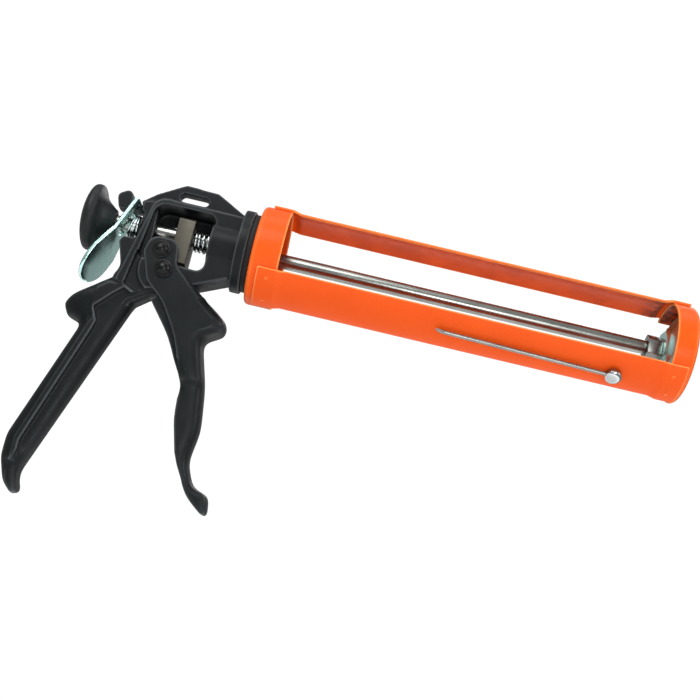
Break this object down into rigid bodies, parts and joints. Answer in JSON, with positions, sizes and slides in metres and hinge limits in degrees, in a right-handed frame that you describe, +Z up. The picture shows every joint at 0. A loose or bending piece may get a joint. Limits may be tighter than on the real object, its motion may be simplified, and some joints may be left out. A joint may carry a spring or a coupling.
{
  "type": "caulking gun",
  "caption": "Hand caulking gun with a turning orange cradle, sliding push rod, squeeze trigger, thumb release and piercing wire.",
  "frame": {"origin": "barrel axis at the rear face of the cradle's rear cup", "axes": "+X along the barrel to the nozzle, +Z up, away from the handle"},
  "size_m": [0.3443, 0.0544, 0.1839],
  "materials": {
    "black_casting": "satin black powder coat",
    "orange_paint": "gloss powder coat",
    "zinc_plate": "bright zinc plate",
    "bare_steel": "oiled sintered steel",
    "black_steel": "black oxide",
    "rubber_ring": "matte",
    "bronze_bush": "plain",
    "black_plastic": "moulded satin"
  },
  "bodies": {
    "root": {"body_casting": "black_casting", "front_guide_bush": "bronze_bush", "rear_guide_bush": "zinc_plate", "friction_ring": "rubber_ring", "retaining_clip": "bare_steel", "pivot_bolt": "black_steel", "pivot_nut": "black_steel", "pivot_washers": "black_steel", "return_spring": "zinc_plate", "thumb_spring": "zinc_plate"},
    "cradle": {"rear_cup": "orange_paint", "upper_rail": "orange_paint", "lower_rail": "orange_paint", "front_cap": "orange_paint", "wire_rivet": "zinc_plate"},
    "wire": {"pierce_wire": "zinc_plate"},
    "rod": {"push_rod": "zinc_plate", "pull_knob": "black_plastic", "piston_nut": "zinc_plate", "piston_plate": "zinc_plate", "piston_lock_nut": "zinc_plate"},
    "trigger": {"trigger_lever": "black_casting", "push_bolt": "black_steel", "push_nut": "black_steel", "push_washers": "black_steel", "push_roller": "bare_steel"},
    "drive": {"drive_block": "bare_steel"},
    "release": {"release_plate": "zinc_plate"}
  },
  "joints": [
    {"name": "cradle_spin", "type": "hinge", "parent": "root", "child": "cradle", "pos_m": [0.0008, 0, 0], "axis": [1, 0, 0], "continuous": true},
    {"name": "wire_swing", "type": "hinge", "parent": "cradle", "child": "wire", "pos_m": [0.2013, -0.01719, -0.02248], "axis": [0, -0.6074, -0.7944], "range_deg": [0, 180]},
    {"name": "rod_slide", "type": "slide", "parent": "root", "child": "rod", "axis": [1, 0, 0], "range_m": [-0.21, 0]},
    {"name": "trigger_squeeze", "type": "hinge", "parent": "root", "child": "trigger", "pos_m": [-0.044, 0, -0.0222], "axis": [0, 1, 0], "range_deg": [0, 27], "stiffness_Nm_per_rad": 1.2, "springref_deg": -8.59},
    {"name": "drive_push", "type": "slide", "parent": "root", "child": "drive", "axis": [1, 0, 0], "range_m": [0, 0.0052], "deforming": ["return_spring"]},
    {"name": "thumb_release", "type": "hinge", "parent": "root", "child": "release", "pos_m": [-0.069, 0, 0.0095], "axis": [0, -1, 0], "range_deg": [0, 6], "stiffness_Nm_per_rad": 0.4, "springref_deg": -6.88, "deforming": ["thumb_spring"]}
  ],
  "couplings": [
    {"joint": "drive_push", "follows": "trigger_squeeze", "m_per_rad": 0.010589}
  ]
}
